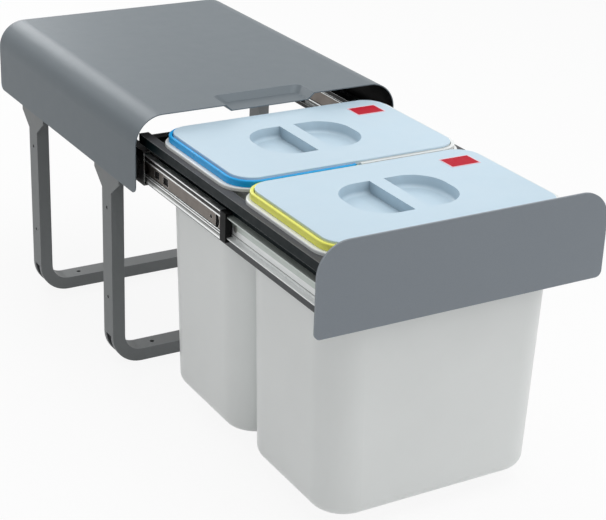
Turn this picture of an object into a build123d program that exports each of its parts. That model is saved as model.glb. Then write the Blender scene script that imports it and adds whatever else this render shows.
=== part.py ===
"""Built-in recycling bin: a hood on two leg frames, a drawer on ball slides and two lidded buckets.

Millimetres, +Z up. The origin lies on the cabinet floor, in the middle of the four floor screws.
The front is at -Y, left is at -X, and the drawer stands pulled out.
"""

import os

from build123d import *

os.makedirs("parts", exist_ok=True)

# Shared clearances
cut_margin = 1.0
bolt_play = 0.2
thread_play = 0.05
ball_play = 0.05
sliding_gap = 0.3

# Hood: one bent sheet, open at the front, at the back and below
hood_width = 340.0
hood_height = 339.0
hood_depth = 425.0
hood_reach = 200.0
hood_skirt_height = 90.0
hood_sheet = 1.2
hood_bend_radius = 34.0
skirt_corner_radius = 9.0

# Finger recess pressed into the front edge of the hood
recess_width = 115.0
recess_length = 36.0
recess_depth = 7.0
recess_slope = 8.0
recess_corner_radius = 9.0

# Leg frames: rectangular tube bent to a U, with a flared plate at the top of each leg
leg_pitch = 233.0
leg_width = 26.0
leg_depth = 16.0
leg_wall = 1.5
leg_bend_radius = 38.0
leg_stop_below_skirt = 12.0
leg_hole_diameter = 4.4
low_leg_hole_level = 88.0
high_leg_hole_drop = 34.0
bend_slot_width = 14.0
floor_screw_inset = 59.0
floor_screw_hole = 5.5
plate_sheet = 2.0
plate_flare = 22.0
plate_flare_rise = 18.0
plate_overlap = 27.0
plate_rise = 45.0

# Studs and nuts that hold the hood on the plates and the panel on its brackets
stud_diameter = 4.0
nut_width = 7.0
nut_sides = 6
nut_height = 3.2
stud_tip = 0.8
hood_stud_rise = 12.0
hood_stud_spacing = 22.0

# Ball slides, three nested rails a side
slide_inset = 12.0
slide_drop = 34.0
slide_thickness = 12.7
rail_sheet = 1.2
rail_web_gap = 1.0
outer_rail_height = 40.0
middle_rail_height = 32.0
inner_rail_height = 24.0
outer_rail_length = 400.0
middle_rail_length = 360.0
inner_rail_length = 385.0
outer_rail_setback = 3.0
middle_rail_setback = 16.0
inner_rail_setback = 6.0
rail_lip = 5.3
rail_groove_height = 19.4
rail_groove_depth = 2.4
rail_hole_diameter = 4.5
rail_hole_inset = 24.5
rail_window_inset = 133.7
rail_window_pitch = 22.3
rail_window_count = 2
rail_window_length = 12.0
rail_window_height = 8.7
rail_bite_inset = 14.0
rail_bite_radius = 8.0
end_stop_length = 12.0
end_stop_grip = 8.0
end_stop_wall = 1.9
end_stop_core_gap = 0.7

# Ball cages and their balls
cage_sheet = 0.5
cage_arm = 0.8
cage_margin = 10.0
cage_hole_play = 0.2
balls_in_row = 4

# Brackets and rivets
bracket_sheet = 1.5
bracket_width = 24.0
bracket_height = 26.0
bracket_foot = 7.0
rivet_diameter = 4.0
rivet_head_diameter = 7.0
rivet_head_height = 1.0
rivet_spacing = 12.0
inner_rivet_inset = 22.0
inner_rivet_count = 3

# Drawer carriage: two extruded sides, a rear cross bar and the front panel
drawer_travel = 393.0
closing_gap = 1.0
carriage_length = 420.0
side_web = 1.5
side_drop = 28.5
side_height = 60.5
side_cover_reach = 7.7
side_lip_height = 11.0
side_ledge_reach = 2.3
side_foot_reach = 3.0
corner_tab = 16.0
corner_tab_margin = 2.0
cross_bar_flange = 12.0
panel_sheet = 2.0
panel_rise = 1.5
panel_height = 96.5
panel_foot_radius = 7.0
panel_bracket_reach = 22.0
panel_stud_inset = 8.0

# Buckets
bucket_foot_gap = 1.0
bucket_side_gap = 5.3
bucket_taper = 18.0
bucket_wall = 2.2
bucket_floor = 2.6
bucket_top_length = 181.0
bucket_bottom_length = 179.0
bucket_corner_radius = 38.0
bucket_foot_radius = 14.0
rim_overlap = 2.2
rim_length = 186.0
rim_sheet = 4.0
rim_corner_radius = 32.0
rim_edge_radius = 1.4
rim_gap = 2.0
bucket_front_gap = 18.0
neck_setback = 10.0
neck_length = 176.0
neck_height = 7.7
neck_wall = 2.0
neck_corner_radius = 25.0

# Bail handles, folded down round the left half of each neck
bail_thickness = 4.0
bail_height = 7.2
bail_lift = 0.3
bail_clearance = 0.9
bail_edge_radius = 1.4
bail_peg_diameter = 3.2
bail_peg_play = 0.08

# Lids with a grip bar across a rounded dish
lid_sheet = 2.0
lid_edge_radius = 0.9
dish_width = 123.0
dish_length = 86.0
dish_corner_radius = 36.0
dish_side_offset = 8.0
dish_depth = 12.5
dish_taper = 12.0
dish_floor_radius = 5.0
dish_wall = 2.0
grip_width = 17.4
grip_hollow_length = 50.0
label_width = 37.0
label_length = 26.0
label_thickness = 0.3
label_side_inset = 33.0
label_back_inset = 36.0

# Places worked out from the sizes above
hood_front = -hood_reach
skirt_bottom = hood_height - hood_skirt_height
leg_face = hood_width / 2 - hood_sheet
leg_top = skirt_bottom - leg_stop_below_skirt
leg_hole_levels = (low_leg_hole_level, leg_top - high_leg_hole_drop)
floor_screw_spacing = hood_width - 2 * floor_screw_inset
plate_face = leg_face - plate_sheet
plate_top = skirt_bottom + plate_rise
flare_start = leg_top - leg_stop_below_skirt
flare_end = flare_start + plate_flare_rise
stud_radius = stud_diameter / 2
rivet_radius = rivet_diameter / 2

side_top_level = hood_height - side_drop
side_bottom_level = side_top_level - side_height
slide_level = side_top_level - slide_drop
panel_top = hood_height + panel_rise
panel_bottom = panel_top - panel_height

rail_back = hood_width / 2 - slide_inset
outer_web_face = rail_back - rail_sheet
middle_back = outer_web_face - rail_web_gap
middle_web_face = middle_back - rail_sheet
groove_face = middle_back - rail_groove_depth - rail_sheet
side_face = rail_back - slide_thickness
inner_web_face = side_face + rail_sheet
inner_flange_end = middle_web_face - rail_web_gap
outer_flange_end = side_face + rail_sheet + rail_web_gap / 2
middle_flange_end = outer_flange_end + rail_sheet + sliding_gap

panel_back = hood_front - closing_gap - drawer_travel
panel_face = panel_back - panel_sheet
carriage_back = panel_back + carriage_length
side_inner_face = side_face - side_web
outer_rail_front = hood_front + outer_rail_setback
middle_rail_front = outer_rail_front + middle_rail_setback - drawer_travel / 2
middle_rail_end = middle_rail_front + middle_rail_length
inner_rail_front = panel_back + inner_rail_setback
inner_rail_end = inner_rail_front + inner_rail_length

front_bucket_place = panel_back + bucket_front_gap + rim_length / 2
rear_bucket_place = front_bucket_place + rim_length + rim_gap
bucket_bottom = leg_depth + bucket_foot_gap
bucket_top_width = 2 * (side_inner_face - bucket_side_gap)
bucket_bottom_width = bucket_top_width - bucket_taper
rim_width = 2 * (side_inner_face + rim_overlap)
neck_width = rim_width - 2 * neck_setback
rim_bottom = side_top_level
rim_top = rim_bottom + rim_sheet
neck_top = rim_top + neck_height
lid_top = neck_top + lid_sheet
bail_bottom = rim_top + bail_lift
bail_level = bail_bottom + bail_height / 2
bail_inner_width = neck_width + 2 * bail_clearance
bail_inner_length = neck_length + 2 * bail_clearance
bail_outer_width = bail_inner_width + 2 * bail_thickness
bail_outer_length = bail_inner_length + 2 * bail_thickness
bail_outer_radius = neck_corner_radius + bail_clearance + bail_thickness

sides = (("left", -1), ("right", 1))
leg_places = (("front", -leg_pitch / 2), ("rear", leg_pitch / 2))
bucket_places = (("rear", rear_bucket_place), ("front", front_bucket_place))


def finish(part, name):
    """Labels a finished piece and writes it."""
    part.label = name
    export_step(part, f"parts/{name}.step")


def arch(plane, width, bottom, top, radius):
    """An upright rectangle with rounded upper corners."""
    with BuildSketch(plane) as outline:
        with Locations((0, bottom)):
            Rectangle(width, top - bottom, align=(Align.CENTER, Align.MIN))
        fillet(outline.vertices().group_by(Axis.Y)[-1], radius)
    return outline.sketch


def recess_outline(level, width, length, radius):
    """The finger recess at one level: a rectangle from the hood's front edge, rounded at the back."""
    with BuildSketch(Plane.XY.offset(level)) as outline:
        with Locations((0, hood_front)):
            Rectangle(width, length, align=(Align.CENTER, Align.MIN))
        fillet(outline.vertices().group_by(Axis.Y)[-1], radius)
    return outline.sketch


def leg_loop(plane, inset):
    """The leg frame's U, or the hollow inside its tube where inset is the wall."""
    with BuildSketch(plane) as loop:
        with Locations((0, inset)):
            Rectangle(2 * (leg_face - inset), leg_top - inset, align=(Align.CENTER, Align.MIN))
        with Locations((0, leg_depth - inset)):
            gap = 2 * (leg_face - leg_depth + inset)
            Rectangle(gap, leg_top, align=(Align.CENTER, Align.MIN), mode=Mode.SUBTRACT)
        fillet(loop.vertices().group_by(Axis.Y)[1], leg_bend_radius - leg_depth + inset)
        fillet(loop.vertices().group_by(Axis.Y)[0], leg_bend_radius - inset)
    return loop.sketch


def channel(front, side, web, flange_end, height, sheet):
    """A rail's C section at its front end, from the web's outer face to the ends of the flanges."""
    run = flange_end - web
    turn = 1 if run > 0 else -1
    with BuildSketch(Plane.XZ.offset(-front)) as section:
        with Locations((side * (web + run / 2), slide_level)):
            Rectangle(abs(run), height)
        with Locations((side * (web + run / 2 + turn * sheet / 2), slide_level)):
            Rectangle(abs(run) - sheet, height - 2 * sheet, mode=Mode.SUBTRACT)
    return section.sketch


def rounded(level, place, width, length, radius):
    """A rounded rectangle on the middle line at one level."""
    with BuildSketch(Plane.XY.offset(level)) as outline:
        with Locations((0, place)):
            RectangleRounded(width, length, radius)
    return outline.sketch


def dish(place, wall):
    """What fills the lid's dish, or its outside where wall is the thickness below it."""
    with BuildPart() as bowl:
        with BuildSketch(Plane.XY.offset(lid_top)):
            with Locations((-dish_side_offset, place)):
                RectangleRounded(dish_width + 2 * wall, dish_length + 2 * wall, dish_corner_radius + wall)
        extrude(amount=-(dish_depth + wall), taper=dish_taper)
        fillet(bowl.edges().group_by(Axis.Z)[0], dish_floor_radius + wall)
    return bowl.part


def half_ring(level, place, side, start):
    """One half of the band that lies round a neck, from start to that side."""
    with BuildSketch(Plane.XY.offset(level)) as ring:
        with Locations((0, place)):
            RectangleRounded(bail_outer_width, bail_outer_length, bail_outer_radius)
            inner_radius = bail_outer_radius - bail_thickness
            RectangleRounded(bail_inner_width, bail_inner_length, inner_radius, mode=Mode.SUBTRACT)
        with Locations((side * start, place)):
            reach = Align.MIN if side > 0 else Align.MAX
            Rectangle(bail_outer_width, bail_outer_length, align=(reach, Align.CENTER), mode=Mode.INTERSECT)
    return ring.sketch


# Hood, with the studs for its nuts
hood_stud_length = plate_sheet + nut_height + stud_tip
stud_levels = (skirt_bottom + hood_stud_rise, skirt_bottom + hood_stud_rise + hood_stud_spacing)
stud_places = [place + leg_width / 2 + plate_flare / 2 for _, place in leg_places]
hood_stud_points = [(place, level) for place in stud_places for level in stud_levels]
hood_plane = Plane.XZ.offset(hood_reach)
recess_floor_width = recess_width - 2 * recess_slope
recess_floor_length = recess_length - recess_slope
with BuildPart() as hood:
    extrude(arch(hood_plane, hood_width, skirt_bottom, hood_height, hood_bend_radius), amount=-hood_depth)
    inner_width = hood_width - 2 * hood_sheet
    inner_top = hood_height - hood_sheet
    inner_radius = hood_bend_radius - hood_sheet
    inside = arch(hood_plane, inner_width, skirt_bottom, inner_top, inner_radius)
    extrude(inside, amount=-hood_depth, mode=Mode.SUBTRACT)
    fillet(hood.edges().filter_by(Axis.X).group_by(Axis.Z)[0], skirt_corner_radius)
    wider = 2 * hood_sheet
    pressed = [
        recess_outline(inner_top, recess_width + wider, recess_length + hood_sheet, recess_corner_radius),
        recess_outline(
            inner_top - recess_depth,
            recess_floor_width + wider,
            recess_floor_length + hood_sheet,
            recess_corner_radius,
        ),
    ]
    loft(sections=pressed)
    hollow = [
        recess_outline(hood_height, recess_width, recess_length, recess_corner_radius),
        recess_outline(
            hood_height - recess_depth, recess_floor_width, recess_floor_length, recess_corner_radius
        ),
    ]
    loft(sections=hollow, mode=Mode.SUBTRACT)
    for _, side in sides:
        with BuildSketch(Plane.YZ.offset(side * leg_face)):
            with Locations(*hood_stud_points):
                Circle(stud_radius)
        extrude(amount=-side * hood_stud_length)
finish(hood.part, "hood")

# Nuts on the hood's studs
with BuildPart() as hood_nuts:
    for _, side in sides:
        with BuildSketch(Plane.YZ.offset(side * plate_face)):
            with Locations(*hood_stud_points):
                RegularPolygon(nut_width / 2, nut_sides, major_radius=False)
                Circle(stud_radius + thread_play, mode=Mode.SUBTRACT)
        extrude(amount=-side * nut_height)
finish(hood_nuts.part, "hood_nuts")

# Leg frames
for name, place in leg_places:
    leg_back = place + leg_width / 2
    leg_front = place - leg_width / 2
    with BuildPart() as leg_frame:
        extrude(leg_loop(Plane.XZ.offset(-leg_front), 0), amount=-leg_width)
        tube_hollow = leg_loop(Plane.XZ.offset(-leg_front - leg_wall), leg_wall)
        extrude(tube_hollow, amount=-(leg_width - 2 * leg_wall), mode=Mode.SUBTRACT)
        for _, side in sides:
            with BuildSketch(Plane.YZ.offset(side * leg_face)):
                with BuildLine():
                    Polyline(
                        (leg_front, leg_top - plate_overlap),
                        (leg_back, leg_top - plate_overlap),
                        (leg_back, flare_start),
                        (leg_back + plate_flare, flare_end),
                        (leg_back + plate_flare, plate_top),
                        (leg_front - plate_flare, plate_top),
                        (leg_front - plate_flare, flare_end),
                        (leg_front, flare_start),
                        close=True,
                    )
                make_face()
                with Locations(*[(leg_back + plate_flare / 2, level) for level in stud_levels]):
                    Circle(stud_radius + bolt_play, mode=Mode.SUBTRACT)
            extrude(amount=-side * plate_sheet)
            with BuildSketch(Plane.YZ.offset(side * leg_face)):
                with Locations(*[(place, level) for level in leg_hole_levels]):
                    Circle(leg_hole_diameter / 2)
            extrude(amount=-side * (leg_wall + cut_margin), mode=Mode.SUBTRACT)
            with BuildSketch(Plane.XZ.offset(-place)):
                with Locations((side * (leg_face - leg_bend_radius), leg_bend_radius)):
                    Circle(leg_bend_radius + cut_margin)
                    Circle(leg_bend_radius - leg_wall - cut_margin, mode=Mode.SUBTRACT)
                    reach = Align.MIN if side > 0 else Align.MAX
                    corner = leg_bend_radius + 2 * cut_margin
                    Rectangle(corner, corner, align=(reach, Align.MAX), mode=Mode.INTERSECT)
            extrude(amount=bend_slot_width / 2, both=True, mode=Mode.SUBTRACT)
        with BuildSketch(Plane.XY):
            with Locations((0, place)):
                with GridLocations(floor_screw_spacing, 0, 2, 1):
                    Circle(floor_screw_hole / 2)
        extrude(amount=leg_depth, mode=Mode.SUBTRACT)
    finish(leg_frame.part, f"{name}_leg_frame")

# Slides: brackets, rivets, rails, end stops, cages and balls, a side at a time
outer_ball_gap = (outer_rail_height - middle_rail_height) / 2 - rail_sheet
inner_ball_gap = (middle_rail_height - inner_rail_height) / 2 - rail_sheet
bracket_rivet_levels = (slide_level - rivet_spacing / 2, slide_level + rivet_spacing / 2)
bracket_rivet_points = [(place, level) for _, place in leg_places for level in bracket_rivet_levels]
bracket_depth = plate_face - rail_back
for name, side in sides:
    with BuildPart() as rail_brackets:
        with BuildSketch(Plane.XY.offset(slide_level - bracket_height / 2)):
            for _, place in leg_places:
                with Locations((side * (rail_back + bracket_depth / 2), place)):
                    Rectangle(bracket_depth, bracket_width)
                with Locations((side * (rail_back + bracket_sheet + bracket_depth / 2), place)):
                    Rectangle(bracket_depth, bracket_width - 2 * bracket_sheet, mode=Mode.SUBTRACT)
                with Locations((side * (plate_face - bracket_sheet / 2), place)):
                    foot_pitch = bracket_width - bracket_foot
                    with GridLocations(0, foot_pitch, 1, 2):
                        Rectangle(bracket_sheet, bracket_foot)
        extrude(amount=bracket_height)
        with BuildSketch(Plane.YZ.offset(side * rail_back)):
            with Locations(*bracket_rivet_points):
                Circle(rivet_radius + thread_play)
        extrude(amount=side * bracket_sheet, mode=Mode.SUBTRACT)
    finish(rail_brackets.part, f"{name}_rail_brackets")

    with BuildPart() as rail_rivets:
        with BuildSketch(Plane.YZ.offset(side * outer_web_face)):
            with Locations(*bracket_rivet_points):
                Circle(rivet_radius)
        extrude(amount=side * (rail_sheet + bracket_sheet))
        with BuildSketch(Plane.YZ.offset(side * (rail_back + bracket_sheet))):
            with Locations(*bracket_rivet_points):
                Circle(rivet_head_diameter / 2)
        extrude(amount=side * rivet_head_height)
    finish(rail_rivets.part, f"{name}_rail_rivets")

    with BuildPart() as outer_rail:
        outer_section = channel(
            outer_rail_front, side, rail_back, outer_flange_end, outer_rail_height, rail_sheet
        )
        extrude(outer_section, amount=-outer_rail_length)
        with BuildSketch(Plane.XZ.offset(-outer_rail_front)):
            with Locations((side * (outer_flange_end + rail_sheet / 2), slide_level)):
                with GridLocations(0, outer_rail_height - rail_lip, 1, 2):
                    Rectangle(rail_sheet, rail_lip)
        extrude(amount=-outer_rail_length)
        with BuildSketch(Plane.YZ.offset(side * rail_back)):
            with Locations(*bracket_rivet_points):
                Circle(rivet_radius + thread_play)
        extrude(amount=-side * rail_sheet, mode=Mode.SUBTRACT)
    finish(outer_rail.part, f"{name}_outer_rail")

    with BuildPart() as middle_rail:
        middle_section = channel(
            middle_rail_front, side, middle_back, middle_flange_end, middle_rail_height, rail_sheet
        )
        extrude(middle_section, amount=-middle_rail_length)
        with BuildSketch(Plane.XZ.offset(-middle_rail_front)):
            with Locations((side * (groove_face + middle_back) / 2, slide_level)):
                Rectangle(middle_back - groove_face, rail_groove_height)
        extrude(amount=-middle_rail_length)
        with BuildSketch(Plane.XZ.offset(-middle_rail_front)):
            with Locations((side * (middle_back - rail_groove_depth / 2), slide_level)):
                Rectangle(rail_groove_depth, rail_groove_height - 2 * rail_sheet)
        extrude(amount=-middle_rail_length, mode=Mode.SUBTRACT)
        with BuildSketch(Plane.YZ.offset(side * middle_back)):
            with Locations((middle_rail_front + rail_bite_inset, slide_level)):
                Circle(rail_bite_radius)
                straight_end = (Align.MIN, Align.CENTER)
                Rectangle(rail_bite_radius, 2 * rail_bite_radius, align=straight_end, mode=Mode.SUBTRACT)
            with Locations((middle_rail_front + rail_hole_inset, slide_level)):
                Circle(rail_hole_diameter / 2)
            first_window = middle_rail_front + rail_window_inset
            windows = [first_window + step * rail_window_pitch for step in range(rail_window_count)]
            with Locations(*[(window, slide_level) for window in windows]):
                Rectangle(rail_window_length, rail_window_height)
        extrude(amount=-side * (rail_groove_depth + rail_sheet), mode=Mode.SUBTRACT)
    finish(middle_rail.part, f"{name}_middle_rail")

    stop_front = middle_rail_front - end_stop_length
    with BuildPart() as end_stop:
        stop_section = channel(
            stop_front, side, middle_back, middle_flange_end, middle_rail_height, end_stop_wall
        )
        extrude(stop_section, amount=-end_stop_length)
        with BuildSketch(Plane.XZ.offset(-stop_front)):
            core_face = inner_web_face + rivet_head_height + end_stop_core_gap
            core_height = inner_rail_height - 2 * (rail_sheet + end_stop_core_gap)
            with Locations((side * (core_face + middle_back) / 2, slide_level)):
                Rectangle(middle_back - core_face, core_height)
        extrude(amount=-end_stop_length)
        with BuildSketch(Plane.XZ.offset(-middle_rail_front)):
            grip_sheet = (middle_web_face - inner_flange_end) - 2 * sliding_gap
            grip_foot = rail_groove_height + 2 * sliding_gap
            with Locations((side * (middle_web_face - grip_sheet / 2), slide_level)):
                Rectangle(grip_sheet, inner_rail_height)
                Rectangle(grip_sheet, grip_foot, mode=Mode.SUBTRACT)
        extrude(amount=-end_stop_grip)
    finish(end_stop.part, f"{name}_rail_end_stop")

    with BuildPart() as inner_rail:
        inner_section = channel(
            inner_rail_front, side, side_face, inner_flange_end, inner_rail_height, rail_sheet
        )
        extrude(inner_section, amount=-inner_rail_length)
        inner_rivet_pitch = (inner_rail_length - 2 * inner_rivet_inset) / (inner_rivet_count - 1)
        inner_rivet_middle = (inner_rail_front + inner_rail_length / 2, slide_level)
        with BuildSketch(Plane.YZ.offset(side * side_face)):
            with Locations(inner_rivet_middle):
                with GridLocations(inner_rivet_pitch, 0, inner_rivet_count, 1):
                    Circle(rivet_radius + thread_play)
        extrude(amount=side * rail_sheet, mode=Mode.SUBTRACT)
    finish(inner_rail.part, f"{name}_inner_rail")

    with BuildPart() as inner_rail_rivets:
        with BuildSketch(Plane.YZ.offset(side * side_inner_face)):
            with Locations(inner_rivet_middle):
                with GridLocations(inner_rivet_pitch, 0, inner_rivet_count, 1):
                    Circle(rivet_radius)
        extrude(amount=side * (side_web + rail_sheet))
        for face, turn in ((inner_web_face, side), (side_inner_face, -side)):
            with BuildSketch(Plane.YZ.offset(side * face)):
                with Locations(inner_rivet_middle):
                    with GridLocations(inner_rivet_pitch, 0, inner_rivet_count, 1):
                        Circle(rivet_head_diameter / 2)
            extrude(amount=turn * rivet_head_height)
    finish(inner_rail_rivets.part, f"{name}_inner_rail_rivets")

    cage_stages = (
        (
            "outer",
            outer_rail_front + cage_margin,
            middle_rail_end - cage_margin,
            outer_web_face - rail_web_gap / 2,
            (middle_back + middle_flange_end) / 2,
            middle_rail_height + outer_ball_gap,
            outer_ball_gap - 2 * ball_play,
        ),
        (
            "inner",
            middle_rail_front + cage_margin,
            inner_rail_end - cage_margin,
            middle_web_face - rail_web_gap / 2,
            (middle_flange_end + inner_flange_end) / 2,
            inner_rail_height + inner_ball_gap,
            inner_ball_gap - 2 * ball_play,
        ),
    )
    for stage, cage_front, cage_back, strip_place, ball_place, row_pitch, ball_diameter in cage_stages:
        cage_length = cage_back - cage_front
        cage_middle = (cage_front + cage_back) / 2
        ball_pitch = cage_length / balls_in_row
        arm_end = ball_place - ball_diameter
        with BuildPart() as cage:
            cage_section = channel(
                cage_front, side, strip_place + cage_sheet / 2, arm_end, row_pitch + cage_arm, cage_arm
            )
            extrude(cage_section, amount=-cage_length)
            with BuildSketch(Plane.XZ.offset(-cage_front)):
                spare = cage_arm - cage_sheet
                with Locations((side * (strip_place - cage_sheet / 2 - spare / 2), slide_level)):
                    Rectangle(spare, row_pitch - cage_arm)
            extrude(amount=-cage_length, mode=Mode.SUBTRACT)
            if stage == "inner":
                dip_face = groove_face - sliding_gap - cage_sheet
                dip_hollow_height = rail_groove_height + 2 * sliding_gap
                dip_depth = strip_place + cage_sheet / 2 - dip_face
                with BuildSketch(Plane.XZ.offset(-cage_front)):
                    with Locations((side * (dip_face + dip_depth / 2), slide_level)):
                        Rectangle(dip_depth, dip_hollow_height + 2 * cage_sheet)
                extrude(amount=-cage_length)
                with BuildSketch(Plane.XZ.offset(-cage_front)):
                    with Locations((side * (dip_face + cage_sheet + dip_depth / 2), slide_level)):
                        Rectangle(dip_depth, dip_hollow_height)
                extrude(amount=-cage_length, mode=Mode.SUBTRACT)
            for row in (-1, 1):
                with BuildSketch(Plane.XY.offset(slide_level + row * row_pitch / 2)):
                    with Locations((side * ball_place, cage_middle)):
                        with GridLocations(0, ball_pitch, 1, balls_in_row):
                            Circle(ball_diameter / 2 + cage_hole_play)
                extrude(amount=cage_arm, both=True, mode=Mode.SUBTRACT)
        finish(cage.part, f"{name}_{stage}_ball_cage")

        with BuildPart() as balls:
            for row in (-1, 1):
                with Locations((side * ball_place, cage_middle, slide_level + row * row_pitch / 2)):
                    with GridLocations(0, ball_pitch, 1, balls_in_row):
                        Sphere(ball_diameter / 2)
        finish(balls.part, f"{name}_{stage}_balls")

# Carriage sides: a web with a lipped cover over the slide, a ledge for the rims and a foot
tab_bottom = side_bottom_level + corner_tab_margin
tab_top = side_top_level - side_web - corner_tab_margin
corner_rivet_margin = (slide_level - inner_rail_height / 2 - tab_bottom) / 2
corner_rivet_levels = (tab_bottom + corner_rivet_margin, tab_top - corner_rivet_margin)
corner_rivet_rows = (panel_back + corner_tab / 2, carriage_back - corner_tab / 2)
for name, side in sides:
    with BuildPart() as carriage_side:
        with BuildSketch(Plane.XZ.offset(-panel_back)):
            with Locations((side * (side_face - side_web / 2), side_bottom_level)):
                Rectangle(side_web, side_height, align=(Align.CENTER, Align.MIN))
            cap_width = side_ledge_reach + side_web + side_cover_reach
            cap_middle = side_face + side_cover_reach - cap_width / 2
            with Locations((side * cap_middle, side_top_level)):
                Rectangle(cap_width, side_web, align=(Align.CENTER, Align.MAX))
            with Locations((side * (side_face + side_cover_reach - side_web / 2), side_top_level)):
                Rectangle(side_web, side_lip_height, align=(Align.CENTER, Align.MAX))
            foot_width = side_web + side_foot_reach
            with Locations((side * (side_face - foot_width / 2), side_bottom_level)):
                Rectangle(foot_width, side_web, align=(Align.CENTER, Align.MIN))
        extrude(amount=-carriage_length)
        with BuildSketch(Plane.YZ.offset(side * side_face)):
            with Locations(inner_rivet_middle):
                with GridLocations(inner_rivet_pitch, 0, inner_rivet_count, 1):
                    Circle(rivet_radius + thread_play)
            with Locations(*[(row, level) for row in corner_rivet_rows for level in corner_rivet_levels]):
                Circle(rivet_radius + thread_play)
        extrude(amount=-side * side_web, mode=Mode.SUBTRACT)
    finish(carriage_side.part, f"{name}_carriage_side")

# Rear cross bar with a tab at each end
tab_face = side_inner_face - bracket_sheet
tab_height = tab_top - tab_bottom
with BuildPart() as rear_cross_bar:
    with BuildSketch(Plane.XY.offset(tab_bottom)):
        with Locations((0, carriage_back)):
            Rectangle(2 * side_inner_face, corner_tab, align=(Align.CENTER, Align.MAX))
        with Locations((0, carriage_back - bracket_sheet)):
            Rectangle(2 * tab_face, corner_tab, align=(Align.CENTER, Align.MAX), mode=Mode.SUBTRACT)
    extrude(amount=tab_height)
    with BuildSketch(Plane.XY.offset(tab_top - bracket_sheet)):
        with Locations((0, carriage_back)):
            Rectangle(2 * tab_face, cross_bar_flange, align=(Align.CENTER, Align.MAX))
    extrude(amount=bracket_sheet)
    with BuildSketch(Plane.YZ):
        with Locations(*[(corner_rivet_rows[1], level) for level in corner_rivet_levels]):
            Circle(rivet_radius + thread_play)
    extrude(amount=side_inner_face, both=True, mode=Mode.SUBTRACT)
finish(rear_cross_bar.part, "rear_cross_bar")

# Front panel with welded studs, its two brackets and their nuts
panel_stud_length = bracket_sheet + nut_height + stud_tip
panel_stud_place = side_inner_face - panel_bracket_reach + panel_stud_inset
panel_stud_points = [(side * panel_stud_place, level) for _, side in sides for level in corner_rivet_levels]
with BuildPart() as front_panel:
    with BuildSketch(Plane.XZ.offset(-panel_face)) as panel_outline:
        with Locations((0, panel_bottom)):
            Rectangle(hood_width, panel_top - panel_bottom, align=(Align.CENTER, Align.MIN))
        fillet(panel_outline.vertices().group_by(Axis.Y)[-1], hood_bend_radius)
        fillet(panel_outline.vertices().group_by(Axis.Y)[0], panel_foot_radius)
    extrude(amount=-panel_sheet)
    with BuildSketch(Plane.XZ.offset(-panel_back)):
        with Locations(*panel_stud_points):
            Circle(stud_radius)
    extrude(amount=-panel_stud_length)
finish(front_panel.part, "front_panel")

for name, side in sides:
    with BuildPart() as panel_bracket:
        with BuildSketch(Plane.XY.offset(tab_bottom)):
            reach = Align.MAX if side > 0 else Align.MIN
            with Locations((side * side_inner_face, panel_back)):
                Rectangle(panel_bracket_reach, corner_tab, align=(reach, Align.MIN))
            with Locations((side * tab_face, panel_back + bracket_sheet)):
                Rectangle(panel_bracket_reach, corner_tab, align=(reach, Align.MIN), mode=Mode.SUBTRACT)
        extrude(amount=tab_height)
        with BuildSketch(Plane.XZ.offset(-panel_back)):
            with Locations(*[(side * panel_stud_place, level) for level in corner_rivet_levels]):
                Circle(stud_radius + bolt_play)
        extrude(amount=-bracket_sheet, mode=Mode.SUBTRACT)
        with BuildSketch(Plane.YZ.offset(side * side_inner_face)):
            with Locations(*[(corner_rivet_rows[0], level) for level in corner_rivet_levels]):
                Circle(rivet_radius + thread_play)
        extrude(amount=-side * bracket_sheet, mode=Mode.SUBTRACT)
    finish(panel_bracket.part, f"{name}_panel_bracket")

with BuildPart() as panel_nuts:
    with BuildSketch(Plane.XZ.offset(-panel_back - bracket_sheet)):
        with Locations(*panel_stud_points):
            RegularPolygon(nut_width / 2, nut_sides, major_radius=False)
            Circle(stud_radius + thread_play, mode=Mode.SUBTRACT)
    extrude(amount=-nut_height)
finish(panel_nuts.part, "panel_nuts")

# Rivets at the four corners of the carriage
for name, row in (("front", corner_rivet_rows[0]), ("rear", corner_rivet_rows[1])):
    corner_points = [(row, level) for level in corner_rivet_levels]
    with BuildPart() as corner_rivets:
        for _, side in sides:
            with BuildSketch(Plane.YZ.offset(side * tab_face)):
                with Locations(*corner_points):
                    Circle(rivet_radius)
            extrude(amount=side * (bracket_sheet + side_web))
            for face, turn in ((side_face, side), (tab_face, -side)):
                with BuildSketch(Plane.YZ.offset(side * face)):
                    with Locations(*corner_points):
                        Circle(rivet_head_diameter / 2)
                extrude(amount=turn * rivet_head_height)
    finish(corner_rivets.part, f"{name}_corner_rivets")

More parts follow.
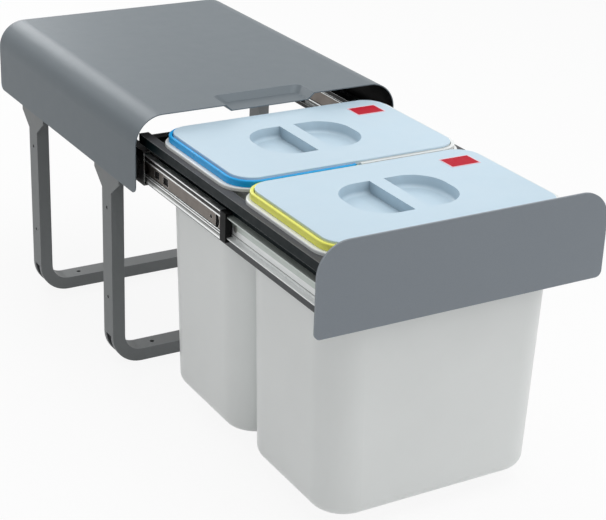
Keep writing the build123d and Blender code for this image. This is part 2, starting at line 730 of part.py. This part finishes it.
# Buckets with their bails, lids and blank labels
peg_reach = bail_clearance + neck_wall
for name, place in bucket_places:
    with BuildPart() as cavity:
        cavity_floor = bucket_bottom + bucket_floor
        twice_wall = 2 * bucket_wall
        inner_corner = bucket_corner_radius - bucket_wall
        loft(
            sections=[
                rounded(
                    cavity_floor,
                    place,
                    bucket_bottom_width - twice_wall,
                    bucket_bottom_length - twice_wall,
                    inner_corner,
                ),
                rounded(
                    rim_bottom,
                    place,
                    bucket_top_width - twice_wall,
                    bucket_top_length - twice_wall,
                    inner_corner,
                ),
            ]
        )
        fillet(cavity.edges().group_by(Axis.Z)[0], bucket_foot_radius - bucket_wall)

    with BuildPart() as bucket:
        loft(
            sections=[
                rounded(
                    bucket_bottom, place, bucket_bottom_width, bucket_bottom_length, bucket_corner_radius
                ),
                rounded(rim_bottom, place, bucket_top_width, bucket_top_length, bucket_corner_radius),
            ]
        )
        fillet(bucket.edges().group_by(Axis.Z)[0], bucket_foot_radius)
        extrude(rounded(rim_bottom, place, rim_width, rim_length, rim_corner_radius), amount=rim_sheet)
        fillet(bucket.edges().group_by(Axis.Z)[-1], rim_edge_radius)
        extrude(rounded(rim_top, place, neck_width, neck_length, neck_corner_radius), amount=neck_height)
        extrude(half_ring(rim_top, place, 1, bail_height), amount=bail_height)
        add(cavity.part, mode=Mode.SUBTRACT)
        mouth_width = neck_width - 2 * neck_wall
        mouth_length = neck_length - 2 * neck_wall
        mouth = rounded(rim_bottom, place, mouth_width, mouth_length, inner_corner)
        extrude(mouth, amount=rim_sheet + neck_height, mode=Mode.SUBTRACT)
        with BuildSketch(Plane.XZ.offset(-place)):
            with Locations((0, bail_level)):
                Circle(bail_peg_diameter / 2 + bail_peg_play)
        extrude(amount=neck_length, both=True, mode=Mode.SUBTRACT)
    finish(bucket.part, f"{name}_bucket")

    with BuildPart() as bail:
        extrude(half_ring(bail_bottom, place, -1, 0), amount=bail_height)
        fillet(bail.edges().group_by(Axis.Z)[-1].sort_by(Axis.X)[:-2], bail_edge_radius)
        for end in (-1, 1):
            eye_face = place + end * bail_inner_length / 2
            with BuildSketch(Plane.XZ.offset(-eye_face)):
                with Locations((0, bail_level)):
                    Circle(bail_height / 2)
            extrude(amount=-end * bail_thickness)
            with BuildSketch(Plane.XZ.offset(-eye_face)):
                with Locations((0, bail_level)):
                    Circle(bail_peg_diameter / 2)
            extrude(amount=end * peg_reach)
    finish(bail.part, f"{name}_bail")

    dish_outside = dish(place, dish_wall)
    with BuildPart() as grip_bar:
        add(dish_outside)
        with Locations((-dish_side_offset, place, lid_top)):
            deep = dish_depth + dish_wall
            top_middle = (Align.CENTER, Align.CENTER, Align.MAX)
            Box(grip_width, dish_length, deep, align=top_middle, mode=Mode.INTERSECT)

    dish_hollow = dish(place, 0)
    with BuildPart() as lid:
        extrude(rounded(neck_top, place, neck_width, neck_length, neck_corner_radius), amount=lid_sheet)
        fillet(lid.edges().group_by(Axis.Z)[-1], lid_edge_radius)
        add(dish_outside)
        add(dish_hollow, mode=Mode.SUBTRACT)
        add(grip_bar.part)
        with Locations((-dish_side_offset, place, lid_top)):
            Box(grip_width, dish_length, lid_sheet, align=top_middle)
        with Locations((-dish_side_offset, place, lid_top - lid_sheet)):
            hollow_width = grip_width - 2 * dish_wall
            Box(hollow_width, grip_hollow_length, deep, align=top_middle, mode=Mode.SUBTRACT)
    finish(lid.part, f"{name}_lid")

    with BuildPart() as label:
        with BuildSketch(Plane.XY.offset(lid_top)):
            label_corner = (neck_width / 2 - label_side_inset, place + neck_length / 2 - label_back_inset)
            with Locations(label_corner):
                Rectangle(label_width, label_length)
        extrude(amount=label_thickness)
    finish(label.part, f"{name}_label")
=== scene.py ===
import math

import bpy
from mathutils import Matrix, Vector

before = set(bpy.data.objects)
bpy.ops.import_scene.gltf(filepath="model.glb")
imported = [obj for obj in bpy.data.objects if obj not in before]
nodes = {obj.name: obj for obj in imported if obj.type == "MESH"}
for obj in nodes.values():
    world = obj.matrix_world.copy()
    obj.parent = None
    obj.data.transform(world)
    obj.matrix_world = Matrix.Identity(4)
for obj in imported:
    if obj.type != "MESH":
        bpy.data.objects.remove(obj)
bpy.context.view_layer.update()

# Camera, in metres and degrees, as worked out from the straight edges in the photograph
CAMERA_PLACE = Vector((-0.8612, -1.7273, 0.9057))
CAMERA_YAW = math.radians(-30.857)
CAMERA_PITCH = math.radians(-23.627)
CAMERA_ROLL = math.radians(2.182)
CAMERA_LENS_MM = 95.16
SENSOR_WIDTH_MM = 36.0

# Colours, red, green and blue from 0 to 255: most as they look in even light, some painted light
# or shade
HOOD_GREY = (102, 111, 117)
# Near-black painted shade for the hood's inner faces, which lie in shade
HOOD_INSIDE_SHADE = (14, 14, 15)
PANEL_GREY = (133, 140, 147)
LEG_GREY = (117, 120, 121)
# Painted shade on the carriage sides' web and lip, which lie in shade under the top flange
SIDE_WEB_SHADE = (14, 26, 29)
SIDE_TOP = (84, 85, 88)
SIDE_FOOT = (96, 98, 100)
# Pale painted highlight on the carriage sides' edges
SIDE_EDGE_GLINT = (150, 153, 153)
BAR_BLACK = (26, 26, 28)
# Pale painted highlight on the outer rails' edges
RAIL_SILVER = (206, 208, 206)
# Pale painted highlight along the rails' bends and edges
RAIL_EDGE_GLINT = (244, 246, 246)
RAIL_PALE = (200, 208, 203)
# Painted shade in the rails' dull bands, dark lines and groove, and a painted dark reflection on
# the middle rail's shoulder
RAIL_LOW = (150, 152, 150)
RAIL_SHADE_LINE = (14, 15, 15)
RAIL_GROOVE_SHADE = (116, 109, 103)
RAIL_DARK_REFLECTION = (42, 39, 36)
# Near-black painted shade on the outer rails, which lie in shade under the hood
RAIL_SHADE_BLACK = (20, 20, 21)
FASTENER_SILVER = (186, 186, 182)
BLACK_PLASTIC = (9, 9, 10)
BUCKET_PALE = (238, 241, 240)
LID_PALE = (199, 221, 235)
BAIL_BLUE = (26, 170, 240)
BAIL_YELLOW = (244, 244, 104)
LABEL_RED = (190, 8, 40)
LABEL_EDGE = (240, 205, 214)
FLOOR_PALE = (240, 240, 240)
BLACK = (0, 0, 0)
WHITE = (255, 255, 255)

# Bands of painted highlight, shade and reflection across the rails and carriage sides, from the
# lower edge at 0 to the upper edge at 1
GROOVED_BANDS = (
    (0.0, RAIL_EDGE_GLINT),
    (0.08, RAIL_LOW),
    (0.155, RAIL_SHADE_LINE),
    (0.185, RAIL_EDGE_GLINT),
    (0.25, RAIL_SHADE_LINE),
    (0.29, RAIL_GROOVE_SHADE),
    (0.775, RAIL_EDGE_GLINT),
    (0.825, RAIL_DARK_REFLECTION),
    (0.9, RAIL_SHADE_LINE),
    (0.95, RAIL_EDGE_GLINT),
)
PLAIN_BANDS = ((0.0, RAIL_EDGE_GLINT), (0.14, RAIL_LOW), (0.18, RAIL_EDGE_GLINT), (0.45, RAIL_PALE))
# Carriage sides: a paler foot, painted shade on the web and lip, the top at its own grey
SIDE_BANDS = ((0.0, SIDE_FOOT), (0.2, SIDE_WEB_SHADE), (0.985, SIDE_TOP))

# Rails with painted highlights, shade and reflections in bands: node, material, bands, metallic
# and roughness
BANDED_RAILS = (
    ("inner_rail", "rail_steel", PLAIN_BANDS, 0.5, 0.45),
    ("middle_rail", "grooved_rail_steel", GROOVED_BANDS, 1.0, 0.34),
)

# Noise: the values between which it mostly lies, and its stretch in streaks along the drawer
NOISE_LOW = 0.3
NOISE_HIGH = 0.7
RAIL_STREAKS = (14.0, 0.35, 14.0)
SIDE_STREAKS = (10.0, 0.2, 10.0)

# Cosines between which a face turns into an edge, and the limit of a face that looks inwards
FLAT_COSINE = 0.98
SHARP_COSINE = 0.8
INWARD_LIMIT = -0.02

# Paint: the share of flakes in it, and how much lighter its flakes and rubbed edges are
FLAKE_SHARE = 0.25
FLAKE_LIGHT = 1.35
RUBBED_LIGHT = 1.5

# Plastic: the reach of its hollows' shade in metres, its refractive index, its coat's roughness
HOLLOW_REACH = 0.02
PLASTIC_IOR = 1.49
COAT_ROUGHNESS = 0.25

# Borders of the label film, as shares of its size along X and Y
LABEL_BORDERS = (("X", 0.035), ("Y", 0.05))

# Stage, with lengths in metres and powers in watts
FLOOR_SIZE = 12.0
FLOOR_GLOW = 0.9
WORLD_STRENGTH = 0.42
LIT_POINT = (0.0, -0.2, 0.2)
SOFT_LIGHTS = (  # name, place, size and power
    ("key_light", (0.3, -0.5, 2.6), 2.0, 30.0),
    ("fill_light", (1.4, -1.8, 1.3), 1.6, 7.0),
    ("edge_light", (-1.05, 1.75, 1.25), 0.5, 2.0),
    ("sheen_light", (0.05, 1.85, 1.15), 0.8, 9.0),
)


def linear(colour):
    """A 0 to 255 display colour as linear light, with full alpha."""
    parts = [c / 255 for c in colour]
    light = [p / 12.92 if p <= 0.04045 else ((p + 0.055) / 1.055) ** 2.4 for p in parts]
    return (*light, 1.0)


def shaded(colour, factor):
    """A linear colour made lighter or darker."""
    return (*[min(1.0, c * factor) for c in colour[:3]], 1.0)


class Tree:
    """A material's node tree, with short ways to add the nodes used here."""

    def __init__(self, name):
        self.material = bpy.data.materials.new(name)
        self.material.use_nodes = True
        self.tree = self.material.node_tree
        self.tree.nodes.clear()
        output = self.add("ShaderNodeOutputMaterial")
        self.shader = self.add("ShaderNodeBsdfPrincipled")
        self.link(self.shader.outputs["BSDF"], output.inputs["Surface"])
        self.coords = self.add("ShaderNodeTexCoord")

    def add(self, kind, **settings):
        """A new node with its settings."""
        made = self.tree.nodes.new(kind)
        for key, value in settings.items():
            setattr(made, key, value)
        return made

    def link(self, source, target):
        """A link from an output to an input."""
        self.tree.links.new(source, target)

    def noise(self, scale, detail, stretch=None):
        """Noise in object space. stretch is how much finer it runs along X, Y and Z."""
        made = self.add("ShaderNodeTexNoise")
        made.inputs["Scale"].default_value = scale
        made.inputs["Detail"].default_value = detail
        if stretch is None:
            self.link(self.coords.outputs["Object"], made.inputs["Vector"])
        else:
            mapping = self.add("ShaderNodeMapping")
            mapping.inputs["Scale"].default_value = stretch
            self.link(self.coords.outputs["Object"], mapping.inputs["Vector"])
            self.link(mapping.outputs["Vector"], made.inputs["Vector"])
        return made.outputs["Fac"]

    def tone(self, factor, colour, spread):
        """The colour, darker and lighter by spread where the factor is low and high."""
        ramp = self.add("ShaderNodeValToRGB")
        low, high = ramp.color_ramp.elements
        low.position, high.position = NOISE_LOW, NOISE_HIGH
        low.color = shaded(colour, 1 - spread)
        high.color = shaded(colour, 1 + spread)
        self.link(factor, ramp.inputs["Fac"])
        return ramp.outputs["Color"]

    def remap(self, factor, from_low, from_high, to_low=0.0, to_high=1.0):
        """The factor moved from one range to another."""
        made = self.add("ShaderNodeMapRange")
        made.inputs["From Min"].default_value = from_low
        made.inputs["From Max"].default_value = from_high
        made.inputs["To Min"].default_value = to_low
        made.inputs["To Max"].default_value = to_high
        self.link(factor, made.inputs["Value"])
        return made.outputs["Result"]

    def spread(self, factor, low, high):
        """Noise spread out between two values."""
        return self.remap(factor, NOISE_LOW, NOISE_HIGH, low, high)

    def uneven(self, roughness, less, more, scale, detail):
        """Roughness that wanders a little below and above its usual value."""
        return self.spread(self.noise(scale, detail), roughness - less, roughness + more)

    def bump(self, height, strength, distance):
        """A fine relief on the surface."""
        made = self.add("ShaderNodeBump")
        made.inputs["Strength"].default_value = strength
        made.inputs["Distance"].default_value = distance
        self.link(height, made.inputs["Height"])
        self.link(made.outputs["Normal"], self.shader.inputs["Normal"])

    def dot(self, first, second):
        """The dot product of two vectors."""
        made = self.add("ShaderNodeVectorMath", operation="DOT_PRODUCT")
        self.link(first, made.inputs[0])
        self.link(second, made.inputs[1])
        return made.outputs["Value"]

    def edges(self, radius):
        """1 on sharp edges and 0 on open faces."""
        bevel = self.add("ShaderNodeBevel", samples=4)
        bevel.inputs["Radius"].default_value = radius
        geometry = self.add("ShaderNodeNewGeometry")
        cosine = self.dot(bevel.outputs["Normal"], geometry.outputs["Normal"])
        return self.remap(cosine, FLAT_COSINE, SHARP_COSINE)

    def hollows(self, distance):
        """1 on open faces and less in the hollows of the same piece."""
        made = self.add("ShaderNodeAmbientOcclusion", samples=8, only_local=True)
        made.inputs["Distance"].default_value = distance
        return made.outputs["AO"]

    def bands(self, low, high, colours):
        """Colours in bands, each from its share of the height between two levels upwards."""
        ramp = self.add("ShaderNodeValToRGB")
        ramp.color_ramp.interpolation = "CONSTANT"
        stops = ramp.color_ramp.elements
        stops.remove(stops[1])
        stops[0].color = linear(colours[0][1])
        for position, colour in colours[1:]:
            stops.new(position).color = linear(colour)
        split = self.add("ShaderNodeSeparateXYZ")
        self.link(self.coords.outputs["Object"], split.inputs["Vector"])
        self.link(self.remap(split.outputs["Z"], low, high), ramp.inputs["Fac"])
        return ramp.outputs["Color"]

    def facing_in(self, level):
        """1 on faces that look towards the middle line at a level, and 0 on the others."""
        centred = self.add("ShaderNodeVectorMath", operation="MULTIPLY_ADD")
        self.link(self.coords.outputs["Object"], centred.inputs[0])
        centred.inputs[1].default_value = (1.0, 0.0, 1.0)
        centred.inputs[2].default_value = (0.0, 0.0, -level)
        outwards = self.dot(centred.outputs["Vector"], self.coords.outputs["Normal"])
        return self.compute("LESS_THAN", outwards, INWARD_LIMIT)

    def compute(self, operation, first, second=None):
        """An operation on one or two values, of which the second may be a plain number."""
        made = self.add("ShaderNodeMath", operation=operation)
        self.link(first, made.inputs[0])
        if isinstance(second, float):
            made.inputs[1].default_value = second
        elif second is not None:
            self.link(second, made.inputs[1])
        return made.outputs["Value"]

    def mix(self, factor, first, second):
        """The first colour where the factor is 0 and the second where it is 1."""
        made = self.add("ShaderNodeMix", data_type="RGBA")
        self.link(factor, made.inputs["Factor"])
        for value, name in ((first, "A"), (second, "B")):
            socket = [s for s in made.inputs if s.name == name and s.type == "RGBA"][0]
            if isinstance(value, tuple):
                socket.default_value = value
            else:
                self.link(value, socket)
        return [s for s in made.outputs if s.type == "RGBA"][0]

    def complete(self, colour, roughness, **values):
        """The material, with its colour, its uneven roughness and its plain values."""
        self.link(colour, self.shader.inputs["Base Color"])
        self.link(roughness, self.shader.inputs["Roughness"])
        for key, value in values.items():
            self.shader.inputs[key.replace("_", " ")].default_value = value
        return self.material


def powder_paint(name, colour, metallic=0.12, roughness=0.42, inside_shade=None, inside_level=0.0):
    """Powder paint: fine orange peel, faint clouds, rubbed edges, and painted shade on faces
    that look inwards.
    """
    t = Tree(name)
    base = linear(colour)
    clouds = t.tone(t.noise(scale=9.0, detail=4.0), base, spread=0.012)
    flakes = t.spread(t.noise(scale=2600.0, detail=1.0), low=0.0, high=FLAKE_SHARE)
    flaked = t.mix(flakes, clouds, shaded(base, FLAKE_LIGHT))
    edged = t.mix(t.edges(radius=0.0008), flaked, shaded(base, RUBBED_LIGHT))
    # Faces that look inwards get a near-black painted shade
    if inside_shade is not None:
        edged = t.mix(t.facing_in(inside_level), edged, linear(inside_shade))
    uneven = t.uneven(roughness, less=0.012, more=0.016, scale=60.0, detail=3.0)
    t.bump(t.noise(scale=1300.0, detail=2.0), strength=0.12, distance=0.0002)
    return t.complete(edged, uneven, Metallic=metallic, Specular_IOR_Level=0.25)


def shade_dark_steel(name, colour, edge_highlight, roughness=0.3):
    """Strip steel, streaked along the rails by drawing, near-black as painted shade, with
    painted highlights on its edges.
    """
    t = Tree(name)
    streaks = t.noise(scale=40.0, detail=4.0, stretch=RAIL_STREAKS)
    streaked_painted_shading = t.tone(streaks, linear(colour), spread=0.1)
    # Edges get a pale painted highlight
    edged = t.mix(t.edges(radius=0.001), streaked_painted_shading, linear(edge_highlight))
    uneven = t.uneven(roughness, less=0.08, more=0.1, scale=90.0, detail=3.0)
    t.bump(streaks, strength=0.08, distance=0.0002)
    return t.complete(edged, uneven, Metallic=1.0)


def banded_steel(name, low, high, bands, metallic, roughness):
    """Plated steel of a rolled rail, with painted highlights at its bends and painted shade and
    reflections between them.
    """
    t = Tree(name)
    streaks = t.noise(scale=40.0, detail=4.0, stretch=RAIL_STREAKS)
    darker = t.spread(streaks, low=0.0, high=0.1)
    # Bands of painted highlight, shade and reflection by height, a little darker along the
    # streaks
    streaked_painted_shading = t.mix(darker, t.bands(low, high, bands), linear(BLACK))
    # Edges get a pale painted highlight
    edged = t.mix(t.edges(radius=0.0007), streaked_painted_shading, linear(RAIL_EDGE_GLINT))
    uneven = t.uneven(roughness, less=0.06, more=0.08, scale=90.0, detail=3.0)
    t.bump(streaks, strength=0.04, distance=0.0001)
    return t.complete(edged, uneven, Metallic=metallic)


def plated_steel(name, colour, roughness=0.32):
    """Small zinc plated fasteners, slightly blotched."""
    t = Tree(name)
    blotched = t.tone(t.noise(scale=380.0, detail=3.0), linear(colour), spread=0.12)
    uneven = t.uneven(roughness, less=0.06, more=0.12, scale=700.0, detail=2.0)
    t.bump(t.noise(scale=2200.0, detail=2.0), strength=0.08, distance=0.0001)
    return t.complete(blotched, uneven, Metallic=1.0)


def anodised(name, low, high, bands, edge_highlight, roughness=0.4):
    """Dark anodised profile, its web and lip darker with painted shade, paler on top and at its
    foot, with faint lines and painted highlights on its edges.
    """
    t = Tree(name)
    lines = t.noise(scale=60.0, detail=3.0, stretch=SIDE_STREAKS)
    darker = t.spread(lines, low=0.0, high=0.15)
    # Bands by height, with painted shade on the web and lip
    streaked_painted_shading = t.mix(darker, t.bands(low, high, bands), linear(BLACK))
    # Edges get a pale painted highlight
    edged = t.mix(t.edges(radius=0.001), streaked_painted_shading, linear(edge_highlight))
    uneven = t.uneven(roughness, less=0.05, more=0.08, scale=120.0, detail=3.0)
    t.bump(lines, strength=0.05, distance=0.0002)
    return t.complete(edged, uneven, Specular_IOR_Level=0.08)


def moulded_plastic(name, colour, roughness, grain, coat=0.0, shine=0.5, hollow_shade=1.0):
    """Moulded plastic: faint flow clouds, a fine grain, uneven gloss and painted shade in its
    hollows.
    """
    t = Tree(name)
    base = linear(colour)
    clouds = t.tone(t.noise(scale=7.0, detail=4.0), base, spread=0.025)
    # Painted shade darkens the hollows, such as the lids' dishes
    if hollow_shade < 1.0:
        clouds = t.mix(t.hollows(HOLLOW_REACH), shaded(base, hollow_shade), clouds)
    uneven = t.uneven(roughness, less=0.05, more=0.07, scale=45.0, detail=3.0)
    t.bump(t.noise(scale=1800.0, detail=2.0), strength=grain, distance=0.00015)
    return t.complete(
        clouds, uneven, IOR=PLASTIC_IOR, Specular_IOR_Level=shine,
        Coat_Weight=coat, Coat_Roughness=COAT_ROUGHNESS,
    )


def label_film(name, colour, edge_highlight):
    """A blank printed film: one colour with a thin pale edge."""
    t = Tree(name)
    split = t.add("ShaderNodeSeparateXYZ")
    t.link(t.coords.outputs["Generated"], split.inputs["Vector"])
    near_edges = []
    for axis, width in LABEL_BORDERS:
        from_middle = t.compute("ABSOLUTE", t.compute("SUBTRACT", split.outputs[axis], 0.5))
        near_edges.append(t.compute("GREATER_THAN", from_middle, 0.5 - width))
    border = t.compute("MAXIMUM", *near_edges)
    clouds = t.tone(t.noise(scale=90.0, detail=3.0), linear(colour), spread=0.05)
    printed = t.mix(border, clouds, linear(edge_highlight))
    uneven = t.spread(t.noise(scale=160.0, detail=2.0), low=0.3, high=0.42)
    t.bump(t.noise(scale=900.0, detail=2.0), strength=0.05, distance=0.0001)
    return t.complete(printed, uneven, Specular_IOR_Level=0.05)


def dress(material, *names):
    """Gives CAD nodes their material."""
    for name in names:
        mesh = nodes[name].data
        mesh.materials.clear()
        mesh.materials.append(material)


def levels_of(name):
    """The lowest and highest level of a CAD node."""
    levels = [corner[2] for corner in nodes[name].bound_box]
    return min(levels), max(levels)


def on_both_sides(*names):
    """The names of the left and right nodes of each kind."""
    return [f"{side}_{name}" for side in ("left", "right") for name in names]


def on_both_buckets(name):
    """The names of the rear and front nodes of a kind."""
    return [f"{place}_{name}" for place in ("rear", "front")]


# Painted steel
skirt_bottom = levels_of("hood")[0]
# The hood's inner faces get a near-black painted shade
hood_paint = powder_paint("hood_paint", HOOD_GREY, inside_shade=HOOD_INSIDE_SHADE, inside_level=skirt_bottom)
dress(hood_paint, "hood")
dress(powder_paint("panel_paint", PANEL_GREY), "front_panel")
leg_paint = powder_paint("leg_paint", LEG_GREY, metallic=0.25, roughness=0.45)
dress(leg_paint, "front_leg_frame", "rear_leg_frame", *on_both_sides("rail_brackets"))
bar_paint = powder_paint("bar_paint", BAR_BLACK, metallic=0.1)
dress(bar_paint, "rear_cross_bar", *on_both_sides("panel_bracket"))

# Carriage sides, rails and fasteners
side_levels = levels_of("left_carriage_side")
side_alu = anodised("side_alu", *side_levels, SIDE_BANDS, SIDE_EDGE_GLINT)
dress(side_alu, *on_both_sides("carriage_side"))
for rail, finish, bands, metallic, roughness in BANDED_RAILS:
    rail_levels = levels_of(f"left_{rail}")
    rail_steel = banded_steel(finish, *rail_levels, bands, metallic, roughness)
    dress(rail_steel, *on_both_sides(rail))
# The outer rails get near-black painted shade and painted highlights on their edges
dress(shade_dark_steel("black_rail_steel", RAIL_SHADE_BLACK, RAIL_SILVER), *on_both_sides("outer_rail"))
fasteners = on_both_sides("rail_rivets", "inner_rail_rivets", "outer_balls", "inner_balls")
fasteners += ["hood_nuts", "panel_nuts", "front_corner_rivets", "rear_corner_rivets"]
dress(plated_steel("fastener_steel", FASTENER_SILVER), *fasteners)

# Plastic
black_plastic = moulded_plastic("black_plastic", BLACK_PLASTIC, 0.5, grain=0.1, shine=0.15)
dress(black_plastic, *on_both_sides("rail_end_stop", "outer_ball_cage", "inner_ball_cage"))
bucket_plastic = moulded_plastic("bucket_plastic", BUCKET_PALE, 0.34, grain=0.06, coat=0.15)
dress(bucket_plastic, *on_both_buckets("bucket"))
# The lids' dishes get painted shade in their hollows
lid_plastic = moulded_plastic("lid_plastic", LID_PALE, 0.4, grain=0.06, hollow_shade=0.4)
dress(lid_plastic, *on_both_buckets("lid"))
dress(moulded_plastic("blue_plastic", BAIL_BLUE, 0.32, grain=0.05, shine=0.3), "rear_bail")
dress(moulded_plastic("yellow_plastic", BAIL_YELLOW, 0.34, grain=0.05), "front_bail")
dress(label_film("label_film", LABEL_RED, LABEL_EDGE), *on_both_buckets("label"))


def seen_share(tree):
    """1 for rays that the viewer sees directly, in a reflection or through glass."""
    path = tree.nodes.new("ShaderNodeLightPath")
    total = path.outputs["Is Camera Ray"]
    for name in ("Is Glossy Ray", "Is Transmission Ray"):
        made = tree.nodes.new("ShaderNodeMath")
        made.operation = "MAXIMUM"
        tree.links.new(total, made.inputs[0])
        tree.links.new(path.outputs[name], made.inputs[1])
        total = made.outputs["Value"]
    return total


def pick_seen(tree, unseen, seen, output):
    """One shader for the light in the scene and another for what the viewer sees."""
    pick = tree.nodes.new("ShaderNodeMixShader")
    tree.links.new(seen_share(tree), pick.inputs["Fac"])
    tree.links.new(unseen, pick.inputs[1])
    tree.links.new(seen, pick.inputs[2])
    tree.links.new(pick.outputs["Shader"], output.inputs["Surface"])


def build_floor():
    """A large pale floor that glows softly to the viewer and keeps the object's shadow."""
    half = FLOOR_SIZE / 2
    mesh = bpy.data.meshes.new("floor")
    corners = [(-half, -half, 0), (half, -half, 0), (half, half, 0), (-half, half, 0)]
    mesh.from_pydata(corners, [], [(0, 1, 2, 3)])
    floor = bpy.data.objects.new("floor", mesh)
    bpy.context.scene.collection.objects.link(floor)
    material = bpy.data.materials.new("floor_pale")
    material.use_nodes = True
    tree = material.node_tree
    tree.nodes.clear()
    output = tree.nodes.new("ShaderNodeOutputMaterial")
    diffuse = tree.nodes.new("ShaderNodeBsdfDiffuse")
    diffuse.inputs["Color"].default_value = linear(FLOOR_PALE)
    glow = tree.nodes.new("ShaderNodeEmission")
    glow.inputs["Strength"].default_value = 1.0
    seen = tree.nodes.new("ShaderNodeMixShader")
    seen.inputs["Fac"].default_value = FLOOR_GLOW
    tree.links.new(diffuse.outputs["BSDF"], seen.inputs[1])
    tree.links.new(glow.outputs["Emission"], seen.inputs[2])
    pick_seen(tree, diffuse.outputs["BSDF"], seen.outputs["Shader"], output)
    mesh.materials.append(material)


def build_world():
    """Even light from all round, white where the viewer sees it."""
    world = bpy.data.worlds.new("studio")
    bpy.context.scene.world = world
    world.use_nodes = True
    tree = world.node_tree
    tree.nodes.clear()
    output = tree.nodes.new("ShaderNodeOutputWorld")
    light = tree.nodes.new("ShaderNodeBackground")
    light.inputs["Strength"].default_value = WORLD_STRENGTH
    white = tree.nodes.new("ShaderNodeBackground")
    for background in (light, white):
        background.inputs["Color"].default_value = linear(WHITE)
    pick_seen(tree, light.outputs["Background"], white.outputs["Background"], output)


def soft_light(name, place, target, size, power):
    """A square soft light that faces a point."""
    data = bpy.data.lights.new(name, "AREA")
    data.shape = "SQUARE"
    data.size = size
    data.energy = power
    light = bpy.data.objects.new(name, data)
    bpy.context.scene.collection.objects.link(light)
    facing = (Vector(target) - Vector(place)).to_track_quat("-Z", "Y")
    light.matrix_world = Matrix.Translation(place) @ facing.to_matrix().to_4x4()


def build_camera():
    """The camera at the photograph's place, angle and lens."""
    ahead = Vector((
        -math.sin(CAMERA_YAW) * math.cos(CAMERA_PITCH),
        math.cos(CAMERA_YAW) * math.cos(CAMERA_PITCH),
        math.sin(CAMERA_PITCH),
    ))
    level = ahead.cross(Vector((0, 0, 1))).normalized()
    above = level.cross(ahead)
    right = level * math.cos(CAMERA_ROLL) + above * math.sin(CAMERA_ROLL)
    up = above * math.cos(CAMERA_ROLL) - level * math.sin(CAMERA_ROLL)
    turn = Matrix((right, up, -ahead)).transposed().to_4x4()
    data = bpy.data.cameras.new("camera")
    data.sensor_fit = "HORIZONTAL"
    data.sensor_width = SENSOR_WIDTH_MM
    data.lens = CAMERA_LENS_MM
    camera = bpy.data.objects.new("camera", data)
    bpy.context.scene.collection.objects.link(camera)
    camera.matrix_world = Matrix.Translation(CAMERA_PLACE) @ turn
    bpy.context.scene.camera = camera


build_floor()
build_world()
for light_name, light_place, light_size, light_power in SOFT_LIGHTS:
    soft_light(light_name, light_place, LIT_POINT, light_size, light_power)
build_camera()
bpy.context.scene.view_settings.view_transform = "Standard"
